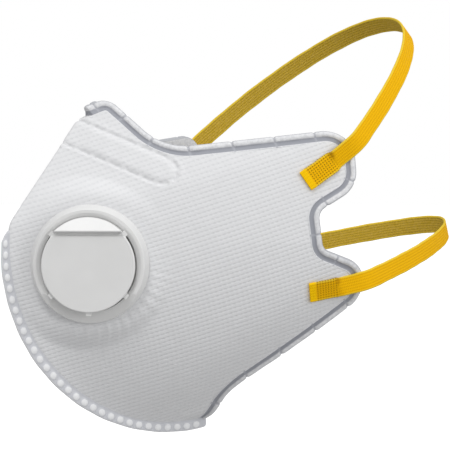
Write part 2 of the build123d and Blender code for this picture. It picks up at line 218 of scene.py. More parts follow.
def panel_width(y, z):
    """Sideways distance of the panel's outer face, as in the CAD."""
    along, across = along_across(y, z)
    reach = along - front_edge(across)
    bend = (WIDTH_START_SLOPE * EAR_REACH - WIDTH_AT_EAR) / EAR_REACH ** 3
    width = WIDTH_START_SLOPE * reach - bend * reach * reach * abs(reach)
    total = np.ones_like(width)
    for room in (behind_fold(y, z), behind_arc(y, z)):
        room = np.where(abs(room) > 1e-6, room, 1e-6)
        total = total + np.clip(width / (EDGE_SLOPE * room), 0, 1.5) ** 4
    width = width / total ** 0.25
    dy, dz = y - SEAT_CENTRE[1], z - SEAT_CENTRE[2]
    flat = SEAT_CENTRE[0] - (VALVE_NORMAL[1] * dy + VALVE_NORMAL[2] * dz) / VALVE_NORMAL[0]
    radius = np.sqrt((flat - SEAT_CENTRE[0]) ** 2 + dy * dy + dz * dz)
    share = smooth((FLAT_FADE - radius) / (FLAT_FADE - FLAT_RADIUS))
    return width + share * (flat - width)


def skin_x(points, sink, inset, rho):
    """Sideways distance of a layer sunk below the outer face, with a rounded fold."""
    y, z = points[:, 0], points[:, 1]
    x = panel_width(y, z)
    if sink:
        h = 0.5
        slope_y = (panel_width(y + h, z) - panel_width(y - h, z)) / (2 * h)
        slope_z = (panel_width(y, z + h) - panel_width(y, z - h)) / (2 * h)
        x = x - sink * np.sqrt(1 + slope_y ** 2 + slope_z ** 2)
    d = np.full(len(y), 50.0)
    near = np.minimum(behind_fold(y, z), behind_arc(y, z)) < 14
    if near.any():
        d[near] = signed_distance(points[near], PROFILE, PROFILE_IN)
    d = np.maximum(d - inset, 0)
    x = np.maximum(x, 0) * (1 - np.exp(-d / 0.5))
    return np.sqrt(x ** 2 + 2 * rho * d * np.exp(-d / 1.6))


def skin(points, lift=0.0, sink=0.0, inset=0.0, rho=0.9, edge=None):
    """Points and unit normals on a layer, moved out along the normal by lift mm.
    edge marks points on the front profile, which lie in the middle plane."""
    points = np.asarray(points, float)
    x = skin_x(points, sink, inset, rho)
    h = 0.04
    step_y, step_z = np.array([h, 0]), np.array([0, h])
    slope_y = (skin_x(points + step_y, sink, inset, rho)
               - skin_x(points - step_y, sink, inset, rho)) / (2 * h)
    slope_z = (skin_x(points + step_z, sink, inset, rho)
               - skin_x(points - step_z, sink, inset, rho)) / (2 * h)
    normal = np.stack([np.ones_like(x), -slope_y, -slope_z], 1)
    normal /= np.linalg.norm(normal, axis=1)[:, None]
    if edge is not None and edge.any():
        at = points[edge]
        gap = ((at[:, None] - PROFILE[None]) ** 2).sum(2).argmin(1)
        inward = PROFILE_IN[gap]
        normal[edge] = np.stack([np.zeros(len(at)), -inward[:, 0], -inward[:, 1]], 1)
        x[edge] = 0
    place = np.stack([x, points[:, 0], points[:, 1]], 1)
    return place + normal * np.reshape(lift, (-1, 1)), normal


# ---------------------------------------------------------------- mesh helpers
def add_mesh(name, verts, faces, material, attributes=None, smooth_shade=True):
    """A mesh object from vertices in mm."""
    mesh = bpy.data.meshes.new(name)
    mesh.from_pydata((np.asarray(verts) * MM).tolist(), [], [list(map(int, f)) for f in faces])
    mesh.update()
    for key, values in (attributes or {}).items():
        layer = mesh.attributes.new(key, "FLOAT_VECTOR", "POINT")
        layer.data.foreach_set("vector", np.asarray(values, np.float32).ravel())
    if smooth_shade:
        mesh.shade_smooth()
    mesh.materials.append(material)
    obj = bpy.data.objects.new(name, mesh)
    bpy.context.scene.collection.objects.link(obj)
    return obj


def inside(points, loop):
    """Even-odd test of points against a closed loop."""
    y, z = points[:, 0], points[:, 1]
    hit = np.zeros(len(points), bool)
    ends = np.roll(loop, -1, axis=0)
    for (y0, z0), (y1, z1) in zip(loop, ends):
        if z0 == z1:
            continue
        crosses = (z0 > z) != (z1 > z)
        hit ^= crosses & (y < y0 + (z - z0) * (y1 - y0) / (z1 - z0))
    return hit


def triangles(points, loops):
    """Delaunay triangles inside the first loop, counter-clockwise in (y, z)."""
    edges = [(int(a), int(b)) for loop in loops for a, b in zip(loop, np.roll(loop, -1))]
    made = geometry.delaunay_2d_cdt([Vector(p) for p in points.tolist()], edges, [], 1, 1e-7)
    back = np.array([v[0] for v in made[3]])
    faces = back[np.array([f for f in made[2] if len(f) == 3])]
    for hole in loops[1:]:
        faces = faces[~np.isin(faces, hole).all(1)]
    a, b, c = (points[faces[:, k]] for k in range(3))
    area = (b - a)[:, 0] * (c - a)[:, 1] - (b - a)[:, 1] * (c - a)[:, 0]
    faces = faces[abs(area) > 1e-9]
    area = area[abs(area) > 1e-9]
    faces[area < 0] = faces[area < 0][:, ::-1]
    return faces


WEAVE_ANGLE = math.radians(20.0)
WEAVE_PITCH = 1.5
WEAVE_AXES = np.array([[math.cos(WEAVE_ANGLE), math.sin(WEAVE_ANGLE)],
                       [-math.sin(WEAVE_ANGLE), math.cos(WEAVE_ANGLE)]])


def lattice(spacing, loop, clear, line):
    """Grid points in line with the fabric, inside loop and clear of its edge."""
    low, high = loop.min(0) - 2, loop.max(0) + 2
    corners = np.array([low, [low[0], high[1]], [high[0], low[1]], high]) @ WEAVE_AXES.T
    first = np.floor(corners.min(0) / spacing) * spacing
    last = corners.max(0)
    u, v = np.meshgrid(np.arange(first[0], last[0], spacing), np.arange(first[1], last[1], spacing))
    grid = np.stack([u.ravel(), v.ravel()], 1) @ WEAVE_AXES
    grid = grid[inside(grid, loop)]
    keep = np.ones(len(grid), bool)
    for i in range(0, len(grid), 4000):
        gap = ((grid[i:i + 4000, None] - line[None]) ** 2).sum(2).min(1)
        keep[i:i + 4000] = gap > clear ** 2
    return grid[keep]


def hole_loop(radius):
    """Side view of a circle round the valve's axis."""
    turn = np.linspace(0, 2 * math.pi, 121)[:-1]
    way = np.cos(turn)[:, None] * VALVE_X + np.sin(turn)[:, None] * VALVE_Y
    return (SEAT_CENTRE + radius * way)[:, 1:]


HOLE_REACH = 24.0             # only points this near the valve are tested against its hole
ROW_OFFSETS = (0.05, 0.14, 0.3, 0.55, 0.9)


def domain(inset, rim_gap):
    """Front edge, rows beside it and rear edge of a layer, in the side view."""
    rim_in = RIM + rim_gap * RIM_IN
    rim_in = rim_in[signed_distance(rim_in, RIM, RIM_IN) > rim_gap - 0.03]
    edges = []
    for extra in (0.0,) + ROW_OFFSETS:
        line = PROFILE + (inset + extra) * PROFILE_IN
        gap = signed_distance(line, RIM, RIM_IN) - rim_gap
        good = gap > 0
        first, last = np.where(good)[0][[0, -1]]
        part = line[first:last + 1]
        if first > 0:
            t = gap[first] / (gap[first] - gap[first - 1])
            part = np.vstack([line[first] + t * (line[first - 1] - line[first]), part])
        if last < len(line) - 1:
            t = gap[last] / (gap[last] - gap[last + 1])
            part = np.vstack([part, line[last] + t * (line[last + 1] - line[last])])
        edges.append(part)
    behind = signed_distance(rim_in, PROFILE, PROFILE_IN) - inset
    ahead_of_end = (rim_in[:, 1] > PROFILE[-1][1] - 0.5)
    good = (behind > 0.35) & ahead_of_end
    first, last = np.where(good)[0][[0, -1]]
    rear = rim_in[first:last + 1]
    return edges[0], edges[1:], rear[::-1]


def make_sheet(name, material, inset, rim_gap, sink, thick, rho, fine, coarse, relief, hole):
    """A closed moulded layer: both panels, joined along the fold and the weld."""
    front, rows, rear = domain(inset, rim_gap)
    front = resample(front, 0.5)[0]
    rear = resample(rear, 0.5)[0]
    loop = np.vstack([front, rear])
    strip = np.vstack([r[1:-1] for r in (resample(r, 0.5)[0] for r in rows)])
    strip = strip[signed_distance(strip, RIM, RIM_IN) > rim_gap + 0.3]
    last_row = rows[-1]
    circle = hole_loop(VALVE_HOLE)
    verts, faces, weave = [], [], []
    n_front, n_rear = len(front), len(rear)
    seam_index = {}

    for side in (1, -1):
        has_hole = hole and side == 1
        bound = np.vstack([loop, circle]) if has_hole else loop
        index = [np.arange(len(loop))]
        if has_hole:
            index.append(np.arange(len(loop), len(loop) + len(circle)))
        for level, spacing in (("outer", fine), ("inner", coarse)):
            if level == "outer":
                inner_loop = np.vstack([last_row, rear])
                fill = lattice(spacing, inner_loop, 0.55 * spacing, np.vstack([inner_loop, strip]))
                fill = np.vstack([strip, fill])
            else:
                fill = lattice(spacing, loop, 0.55 * spacing, loop)
            if has_hole:
                keep = ~inside(fill, circle)
                close = np.hypot(*(fill - SEAT_CENTRE[1:]).T) < HOLE_REACH
                gap = ((fill[close][:, None] - circle[None]) ** 2).sum(2).min(1)
                keep[close] &= gap > (0.4 * spacing) ** 2
                fill = fill[keep]
            points = np.vstack([bound, fill])
            edge = np.zeros(len(points), bool)
            edge[:n_front] = True
            tri = triangles(points, index)
            lift = relief(points) if level == "outer" else np.full(len(points), -thick)
            place, _ = skin(points, lift, sink, inset, rho, edge)
            if side < 0:
                place[:, 0] *= -1
            shift = len(verts)
            local = np.arange(len(points)) + shift
            if side > 0:
                seam_index[level] = local[:n_front].copy()
                new = place
                grown = points
            else:
                local[:n_front] = seam_index[level]
                local[n_front:] = np.arange(len(points) - n_front) + shift
                new = place[n_front:]
                grown = points[n_front:]
            verts = np.vstack([verts, new]) if len(verts) else new
            uv = grown @ WEAVE_AXES.T / WEAVE_PITCH
            flag = np.full((len(grown), 1), 1.0 if level == "outer" else 0.0)
            weave.append(np.hstack([uv, flag]))
            turned = local[tri] if (side > 0) == (level == "outer") else local[tri][:, ::-1]
            faces.extend(turned.tolist())
            if level == "outer":
                outer_local = local
        wall = np.concatenate([[n_front - 1], np.arange(n_front, n_front + n_rear), [0]])
        pairs = [(wall[:-1], wall[1:])]
        if has_hole:
            ring = index[1]
            pairs.append((np.roll(ring, -1), ring))
        for a, b in pairs:
            quads = np.stack([local[a], local[b], outer_local[b], outer_local[a]], 1)
            quads = quads if side > 0 else quads[:, ::-1]
            faces.extend(quads.tolist())
    return add_mesh(name, verts, faces, material, {"weave": np.vstack(weave)})


# ---------------------------------------------------------------- relief of the outer web
POCKET_START = np.array([-29.5, 45.9])
POCKET_AXIS = np.array([19.4, -11.7]) / math.hypot(19.4, 11.7)
POCKET_LENGTH = math.hypot(19.4, 11.7) + 2.0
POCKET_HALF = 4.9
STITCH_PITCH = 4.45
STITCH_LENGTH = 2.9
BOND_DEPTH = 0.042


def pocket_field(points):
    """Distance inside the pocket's seam, and distance along that seam."""
    p = points - POCKET_START
    along = p @ POCKET_AXIS
    across = p @ np.array([-POCKET_AXIS[1], POCKET_AXIS[0]])
    past = np.maximum(along - POCKET_LENGTH, 0)
    depth = POCKET_HALF - np.hypot(past, across)
    turn = np.arctan2(past, across)
    cap = math.pi * POCKET_HALF
    run = np.where(past > 0, POCKET_LENGTH + turn * POCKET_HALF,
                   np.where(across > 0, along, 2 * POCKET_LENGTH + cap - along))
    return depth, run


def bonds(points):
    """0 between the fabric's bond points and 1 on them."""
    u, v = (points @ WEAVE_AXES.T / WEAVE_PITCH).T
    row = np.cos(2 * math.pi * v)
    dot = np.cos(2 * math.pi * u)
    return np.clip(0.5 + 0.5 * row, 0, 1) * np.clip(0.6 + 0.4 * dot, 0, 1)


def web_relief(points):
    """How far the outer web stands out of the plain moulded face, mm."""
    depth, run = pocket_field(points)
    raised = 0.15 + 0.45 * smooth((behind_fold(points[:, 0], points[:, 1]) - 1.0) / 9.0)
    lift = raised * smooth((depth - 0.1) / 2.2)
    phase = (run / STITCH_PITCH + 0.15) % 1.0
    dash = smooth((STITCH_LENGTH / 2 - abs(phase - 0.5) * STITCH_PITCH) / 0.35 + 0.5)
    line = np.exp(-(depth / 0.55) ** 2)
    lift = lift - (0.14 + 0.42 * dash) * line
    lift = lift + 0.12 * np.exp(-((depth + 1.2) / 0.6) ** 2)
    lift = lift - BOND_DEPTH * bonds(points) * (1 - 0.7 * line)
    y, z = points[:, 0] - SEAT_CENTRE[1], points[:, 1] - SEAT_CENTRE[2]
    radius, turn = np.hypot(y * 1.18, z), np.arctan2(z, y)
    low = smooth((math.cos(math.radians(95)) + np.cos(turn - math.radians(-62))) / 0.8)
    ring = smooth((radius - 20) / 2) * smooth((33 - radius) / 11)
    folds = np.sin(46 * turn + 1.3 * np.sin(5 * turn)) + 0.5 * np.sin(29 * turn + 2)
    lift = lift + 0.075 * folds * ring * low
    slow = np.sin(points[:, 0] / 9.0 + 1.3) * np.sin(points[:, 1] / 11.0 - 0.6)
    slow = slow + 0.6 * np.sin(points[:, 0] / 5.1 - points[:, 1] / 6.3)
    return lift + 0.10 * slow * smooth((radius - 26) / 12)


def lining_relief(points):
    slow = np.sin(points[:, 0] / 6.0) * np.sin(points[:, 1] / 7.0 + 1)
    return 0.06 * slow


# ---------------------------------------------------------------- welded rim
RIM_SECTION = np.array([
    (0.95, -2.12), (0.35, -2.02), (0.06, -1.7), (0.0, -1.1), (0.0, -0.35), (0.05, 0.05),
    (0.25, 0.33), (0.6, 0.47), (1.0, 0.5), (1.4, 0.42), (1.72, 0.18), (1.92, -0.08),
    (2.15, -0.22), (2.5, -0.26), (2.85, -0.26), (3.15, -0.2), (3.35, -0.06), (3.52, 0.03),
    (3.7, 0.05), (3.86, -0.05), (3.9, -0.3), (3.9, -1.6), (3.75, -2.05), (3.2, -2.16),
    (2.0, -2.18),
])
CUTS = (2.4, 13.6, 23.2, 32.4, 44.8, 57.2, 69.6, 83.0, 95.5, 108.0, 118.5, 129.5, 142.0, 154.0,
        166.0, 178.0, 190.0, 201.0)


def make_rim(name, material):
    """Fused edge round the face opening: a bead, a pressed groove and a lip."""
    behind = signed_distance(RIM, PROFILE, PROFILE_IN)
    good = np.where((behind > -0.4) & (RIM[:, 1] > -56.5))[0]
    line = RIM[good[0]:good[-1] + 1]
    line, s = resample(line, 0.4)
    inward = tangents(line) @ TURN_IN["rim"]
    rows = []
    cut = abs(s[:, None] - np.array(CUTS)).min(1)
    notch = np.exp(-(cut / 0.36) ** 2)
    waver = 0.05 * np.sin(s / 2.3) + 0.04 * np.sin(s / 0.9 + 1)
    for w, h in RIM_SECTION:
        on_bead = 1.0 if (w < 1.95 and h > -0.4) else 0.0
        shift_w = 0.22 * notch * (1.0 if w < 0.3 and h > -1.2 else 0.0) + on_bead * waver * 0.3
        at = line + (w + shift_w)[:, None] * inward
        in_groove = 1.9 < w < 3.6 and h > -0.4
        lift = h * (smooth((s - 1.0) / 4.0) if in_groove else 1.0)
        lift = lift - 0.42 * notch * on_bead + waver * on_bead
        gap = signed_distance(at, PROFILE, PROFILE_IN)
        at[gap < 0.02] += (0.02 - gap[gap < 0.02])[:, None] * nearest_inward(at[gap < 0.02])
        place, normal = skin(at, 0.0)
        limit = place[:, 0] / np.maximum(normal[:, 0], 0.02)
        depth = np.maximum(lift, -0.9 * limit)
        place = place + normal * depth[:, None]
        place[:, 0] = np.maximum(place[:, 0], 0.01)
        rows.append(place)
    grid = np.stack(rows, 1)
    count, ring = grid.shape[:2]
    first, last = grid[0].copy(), grid[-1].copy()
    first[:, 0], last[:, 0] = 0, 0
    left = np.concatenate([first[None], grid, last[None]])
    right = grid * np.array([-1, 1, 1])
    loop = np.concatenate([left, right[::-1]])
    total = len(loop)
    verts = loop.reshape(-1, 3)
    faces = []
    for i in range(total):
        j = (i + 1) % total
        for k in range(ring):
            m = (k + 1) % ring
            faces.append((i * ring + k, j * ring + k, j * ring + m, i * ring + m))
    station = np.concatenate([[0], notch, [0], notch[::-1]])
    tag = np.stack([np.repeat(station, ring),
                    np.tile(RIM_SECTION[:, 0], total), np.tile(RIM_SECTION[:, 1], total)], 1)
    obj = add_mesh(name, verts, faces, material, {"weave": tag})
    tidy(obj)
    return obj


def nearest_inward(points):
    gap = ((points[:, None] - PROFILE[None]) ** 2).sum(2).argmin(1)
    return PROFILE_IN[gap]


def tidy(obj, merge=0.004):
    """Merges coincident points and turns every face outwards."""
    bm = bmesh.new()
    bm.from_mesh(obj.data)
    bmesh.ops.remove_doubles(bm, verts=bm.verts, dist=merge * MM)
    bmesh.ops.dissolve_degenerate(bm, edges=bm.edges, dist=1e-7)
    bmesh.ops.recalc_face_normals(bm, faces=bm.faces)
    bm.to_mesh(obj.data)
    bm.free()
    obj.data.update()


# ---------------------------------------------------------------- front weld fin
FIN_TOP_Z = 12.5
FIN_INNER = -1.3
FIN_OUTER = 3.0
DOT_PITCH = 3.74
DOT_START = 4.37
FIN_REACH = ((0.0, 1.5, 3.7, 9.4, 15.0, 32.0, 43.0, 110.0),      # along the fin
             (0.15, 1.1, 2.2, 2.7, 2.95, 3.3, 3.5, 3.3))         # its reach there
DOT_HALF_LENGTH = 1.4
DOT_HALF_WIDTH = 1.15
DOT_OUT = 1.45
FIN_SECTION = [(FIN_INNER, 0.66), (-0.8, 0.72), (-0.35, 0.7), (0.0, 0.56), (0.3, 0.5), (0.6, 0.5),
               (0.9, 0.5), (1.2, 0.5), (1.5, 0.5), (1.8, 0.5), (2.1, 0.48), (2.4, 0.46),
               (2.65, 0.44), (2.85, 0.36), (FIN_OUTER, 0.16)]


def make_fin(name, material):
    """Flat welded fin from the tip to the chin, with a row of puffed dots."""
    first = math.pi - math.asin((FIN_TOP_Z - ARC_CENTRE[1]) / ARC_RADIUS)
    last = 2 * math.pi - CHIN_ANGLE - 0.2 / ARC_RADIUS
    count = int((last - first) * ARC_RADIUS / 0.32)
    turns = np.linspace(first, last, count)
    s = (turns - first) * ARC_RADIUS
    end = s[-1]
    to_end = np.minimum(s, end - s)
    rows, tags = [], []
    phase = ((s - DOT_START) / DOT_PITCH + 0.5) % 1.0 - 0.5
    with_dot = (s > 2.4) & (s < end - 3.2)
    spread = np.interp(s, *FIN_REACH) / FIN_OUTER
    for side in (1, -1):
        order = FIN_SECTION if side > 0 else FIN_SECTION[::-1]
        for r, h in order:
            along, aside = phase * DOT_PITCH / DOT_HALF_LENGTH, (r - DOT_OUT) / DOT_HALF_WIDTH
            dome = np.sqrt(np.clip(1 - along ** 2 - aside ** 2, 0, 1))
            thick = h + 0.36 * dome * with_dot
            edge = smooth(to_end / 0.7)
            thick = np.maximum(thick * (0.35 + 0.65 * edge), 0.1)
            back = np.sqrt(np.clip(1 - (1 - np.clip(to_end / 1.6, 0, 1)) ** 2, 0, 1))
            reach = np.minimum(r, FIN_INNER + (FIN_OUTER - FIN_INNER) * (0.55 + 0.45 * back))
            reach = np.where(reach > 0, reach * spread, reach)
            radius = ARC_RADIUS + reach + 0.05 * np.sin(s / 1.7)
            place = np.stack([side * thick, ARC_CENTRE[0] + radius * np.cos(turns),
                              ARC_CENTRE[1] + radius * np.sin(turns)], 1)
            rows.append(place)
            tags.append(np.stack([s, np.full(count, r), dome * with_dot], 1))
    grid, tag = np.stack(rows, 1), np.stack(tags, 1)
    count, ring = grid.shape[:2]
    faces = []
    for i in range(count - 1):
        for k in range(ring):
            m = (k + 1) % ring
            faces.append((i * ring + k, (i + 1) * ring + k, (i + 1) * ring + m, i * ring + m))
    faces.append(tuple(range(ring)))
    faces.append(tuple((count - 1) * ring + k for k in range(ring))[::-1])
    obj = add_mesh(name, grid.reshape(-1, 3), faces, material, {"weave": tag.reshape(-1, 3)})
    tidy(obj)
    return obj


# ---------------------------------------------------------------- head straps
STRAPS = {
    "upper": dict(pad=(33.9, 29.0), pivot=(43.8, 36.2), tilt=42.0, reach=76.6,
                  start=54.8, bow=(59.0, 14.0), tip=39.6),
    "lower": dict(pad=(38.3, -8.6), pivot=(48.2, -6.7), tilt=14.0, reach=78.8,
                  start=51.2, bow=(60.0, 14.0), tip=25.0),
}
STRAP_HALF_WIDTH = 3.35
STRAP_LEAN = 1.2
PAD_HALF_WIDTH = 3.6
RIBS = 6
RIB_SPAN = 0.86               # share of the half width that the ribs cover
PIT_PITCH = 0.95              # pits pressed into a weld, along the strap
PLAIN_END = 1.9               # smooth end of a weld, before its pits
KNIT_PITCH = 0.62             # slanted stitches, along the strap
RIB_DEPTH = 0.11
STRAP_HALF_THICK = 0.46
PAD_LIFT = 0.5
RIM_CLEARANCE = 1.1


def strap_line(spec):
    """Centre points, width directions, distances along the line and pad length of the wearer's left
    half of a strap.
    """
    (y0, z0), (y1, z1) = spec["pad"], spec["pivot"]
    tilt = math.radians(spec["tilt"])
    pad_run = math.hypot(y1 - y0, z1 - z0)
    heading = np.array([(y1 - y0) / pad_run, (z1 - z0) / pad_run])
    s = np.arange(0, pad_run - 0.6, 0.3)
    flat = np.array(spec["pad"]) + s[:, None] * heading
    place, normal = skin(flat, PAD_LIFT)
    ahead = skin(flat + 0.2 * heading, PAD_LIFT)[0] - place
    ahead /= np.linalg.norm(ahead, axis=1)[:, None]
    width = np.cross(normal, ahead)
    t = np.linspace(0, 1, 140)[:, None]
    hull = [np.array([spec["start"], 0.0]), np.array(spec["bow"]),
            np.array([spec["tip"], spec["reach"]]), np.array([0.0, spec["reach"]])]
    curve = ((1 - t) ** 3 * hull[0] + 3 * (1 - t) ** 2 * t * hull[1]
             + 3 * (1 - t) * t * t * hull[2] + t ** 3 * hull[3])
    loop = np.stack([curve[:, 0], y1 + curve[:, 1] * math.cos(tilt),
                     z1 + curve[:, 1] * math.sin(tilt)], 1)
    normal_of_loop = np.array([0, -math.sin(tilt), math.cos(tilt)])
    start = skin(np.array([[y1, z1]]), PAD_LIFT)[0][0]
    sway = np.exp(-(curve[:, 1:2] / 9.0) ** 2)
    over_rim = RIM_CLEARANCE * np.exp(-((curve[:, 1:2] - 9.0) / 5.5) ** 2)
    loop = loop + sway * (start - loop[0]) + over_rim * np.array([1, 0, 0])
    points = np.vstack([place, loop])
    widths = np.vstack([width, np.tile(normal_of_loop, (len(loop), 1))])
    runs = np.linalg.norm(np.diff(points, axis=0), axis=1)
    at = np.concatenate([[0], np.cumsum(runs)])
    dense = np.arange(0, pad_run + 10, 0.22)
    fine = np.concatenate([dense, np.arange(pad_run + 10, at[-1], 0.7), [at[-1]]])
    pick = [np.interp(fine, at, points[:, k]) for k in range(3)]
    turn = [np.interp(fine, at, widths[:, k]) for k in range(3)]
    points, widths = np.stack(pick, 1), np.stack(turn, 1)
    kernel = np.exp(-0.5 * (np.arange(-8, 9) / 3.5) ** 2)
    kernel /= kernel.sum()
    share_soft = (smooth((fine - pad_run + 4) / 1.5) * smooth((pad_run + 7 - fine) / 3.0))[:, None]
    for values in (points, widths):
        soft = values.copy()
        for i in range(8, len(values) - 8):
            if pad_run - 4 < fine[i] < pad_run + 8:
                soft[i] = kernel @ values[i - 8:i + 9]
        values += share_soft * (soft - values)
    return points, widths, fine, pad_run


def make_strap(name, spec, material):
    """Braided elastic from weld to weld, as one ribbon with both pressed ends."""
    points, widths, s, pad_run = strap_line(spec)
    mirror = np.array([-1, 1, 1])
    full = np.vstack([points, (points * mirror)[-2::-1]])
    across = np.vstack([widths, (widths * mirror)[-2::-1]])
    run = np.concatenate([s, 2 * s[-1] - s[-2::-1]])
    full[:, 0] -= STRAP_LEAN * smooth((full[:, 1] - spec["pivot"][0]) / 30.0)
    to_end = np.minimum(run, run[-1] - run)
    ahead = np.gradient(full, axis=0)
    ahead /= np.linalg.norm(ahead, axis=1)[:, None]
    across -= (across * ahead).sum(1)[:, None] * ahead
    across /= np.linalg.norm(across, axis=1)[:, None]
    out = np.cross(ahead, across)
    pad = smooth((pad_run - to_end) / 1.2 + 0.5)
    inward = smooth((to_end - PLAIN_END) / 0.5)
    press = pad * inward
    plain = pad * (1 - inward)
    half = STRAP_HALF_WIDTH + (PAD_HALF_WIDTH - STRAP_HALF_WIDTH) * pad
    half = half * (1 + 0.012 * np.sin(run / 3.1) + 0.01 * np.sin(run / 1.3))
    # the crease where the strap leaves its pad: a small lump in the shape, and the weight of a
    # painted shadow in the material
    crease = np.exp(-((to_end - pad_run - 0.3) / 0.9) ** 2)
    levels = np.linspace(-1, 1, RIBS * 4 + 5)
    rows, tags = [], []
    for face in (1, -1):
        for w in (levels if face > 0 else levels[::-1]):
            edge = smooth((1 - abs(w)) / 0.1)
            rib = abs(np.cos(math.pi * RIBS * 0.5 * (w / RIB_SPAN))) if abs(w) < RIB_SPAN else 0.75
            thick = STRAP_HALF_THICK - RIB_DEPTH * (1 - rib) * (1 - press)
            thick = thick * (0.42 + 0.58 * edge)
            column = np.cos(2 * math.pi * to_end / PIT_PITCH)
            pits = 0.5 + 0.5 * column * np.cos(math.pi * w * 3.4 / 0.47)
            thick = thick - press * (0.16 + 0.12 * pits) * edge + 0.05 * plain * edge
            lump = crease * (0.5 * math.exp(-((w - 0.35) / 0.4) ** 2) - 0.25) * face
            place = full + (w * half)[:, None] * across
            place = place + ((face * thick + 0.5 * lump)[:, None]) * out
            rows.append(place)
            tag = [to_end, np.full(len(run), w * STRAP_HALF_WIDTH), np.full(len(run), float(face))]
            tags.append(np.stack(tag, 1))
    grid, tag = np.stack(rows, 1), np.stack(tags, 1)
    count, ring = grid.shape[:2]
    faces = []
    for i in range(count - 1):
        for k in range(ring):
            m = (k + 1) % ring
            faces.append((i * ring + k, (i + 1) * ring + k, (i + 1) * ring + m, i * ring + m))
    faces.append(tuple(range(ring)))
    faces.append(tuple((count - 1) * ring + k for k in range(ring))[::-1])
    # pressed share, plain share, and the weight of the crease's painted shadow
    press_tag = np.repeat(np.stack([press, plain, crease], 1), ring, axis=0)
    obj = add_mesh(name, grid.reshape(-1, 3), faces, material,
                   {"weave": tag.reshape(-1, 3), "press": press_tag})
    tidy(obj, merge=0.0005)
    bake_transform(obj)
    return obj


# ---------------------------------------------------------------- materials
class Nodes:
    """Small helper to wire a material."""

    def __init__(self, name):
        self.material = bpy.data.materials.new(name)
        self.material.use_nodes = True
        self.tree = self.material.node_tree
        self.shader = self.tree.nodes["Principled BSDF"]

    def add(self, kind, **inputs):
        node = self.tree.nodes.new(kind)
        for key, value in inputs.items():
            if hasattr(node, key):
                setattr(node, key, value)
        return node

    def link(self, source, target):
        self.tree.links.new(source, target)

    def value(self, target, value):
        if hasattr(value, "is_output"):
            self.link(value, target)
        else:
            target.default_value = value

    def maths(self, operation, *values):
        node = self.tree.nodes.new("ShaderNodeMath")
        node.operation = operation
        for socket, value in zip(node.inputs, values):
            self.value(socket, value)
        return node.outputs[0]

    def mix(self, factor, first, second):
        node = self.tree.nodes.new("ShaderNodeMix")
        node.data_type = "RGBA"
        self.value(node.inputs["Factor"], factor)
        for socket, value in ((node.inputs[6], first), (node.inputs[7], second)):
            self.value(socket, value)
        return node.outputs[2]

    def ramp(self, source, low, high):
        node = self.tree.nodes.new("ShaderNodeMapRange")
        node.interpolation_type = "SMOOTHSTEP"
        self.link(source, node.inputs["Value"])
        node.inputs["From Min"].default_value = low
        node.inputs["From Max"].default_value = high
        return node.outputs["Result"]

    def noise(self, scale, detail=2.0, vector=None, rough=0.5):
        node = self.tree.nodes.new("ShaderNodeTexNoise")
        node.inputs["Scale"].default_value = scale
        node.inputs["Detail"].default_value = detail
        node.inputs["Roughness"].default_value = rough
        if vector is None:
            vector = self.tree.nodes.new("ShaderNodeTexCoord").outputs["Object"]
        self.link(vector, node.inputs["Vector"])
        return node.outputs["Fac"]

    def attribute(self, name):
        node = self.tree.nodes.new("ShaderNodeAttribute")
        node.attribute_name = name
        split = self.tree.nodes.new("ShaderNodeSeparateXYZ")
        self.link(node.outputs["Vector"], split.inputs[0])
        return node.outputs["Vector"], *split.outputs

    def bump(self, height, distance, strength=1.0, normal=None):
        node = self.tree.nodes.new("ShaderNodeBump")
        node.inputs["Strength"].default_value = strength
        node.inputs["Distance"].default_value = distance
        self.link(height, node.inputs["Height"])
        if normal is not None:
            self.link(normal, node.inputs["Normal"])
        return node.outputs["Normal"]

    def finish(self, colour, roughness, normal=None, **fixed):
        self.value(self.shader.inputs["Base Color"], colour)
        self.value(self.shader.inputs["Roughness"], roughness)
        if normal is not None:
            self.link(normal, self.shader.inputs["Normal"])
        for key, value in fixed.items():
            self.shader.inputs[key.replace("_", " ")].default_value = value
        return self.material


def web_material(name, colour, bond_colour, bonded):
    n = Nodes(name)
    _, u, v, face = n.attribute("weave")
    fibre = n.noise(5200, 4.0, rough=0.65)
    cloud = n.noise(260, 3.0)
    base = n.mix(n.ramp(cloud, 0.3, 0.7), tuple(c * 0.975 for c in colour[:3]) + (1,), colour)
    height = n.maths("MULTIPLY", fibre, 0.35)
    if bonded:
        row = n.maths("COSINE", n.maths("MULTIPLY", v, 2 * math.pi))
        dot = n.maths("COSINE", n.maths("MULTIPLY", u, 2 * math.pi))
        dots = n.maths("ADD", n.maths("MULTIPLY", n.ramp(dot, -0.85, 0.6), 0.5), 0.5)
        bond = n.maths("MULTIPLY", n.ramp(row, -0.1, 0.95), dots)
        bond = n.maths("MULTIPLY", bond, n.maths("ADD", n.maths("MULTIPLY", cloud, 0.8), 0.5))
        base = n.mix(n.maths("MULTIPLY", bond, 0.25), base, bond_colour)
        height = n.maths("SUBTRACT", height, bond)
    normal = n.bump(height, 0.00009, 0.9)
    return n.finish(base, 0.82, normal, Sheen_Weight=0.12, Sheen_Roughness=0.5,
                    Specular_IOR_Level=0.25)


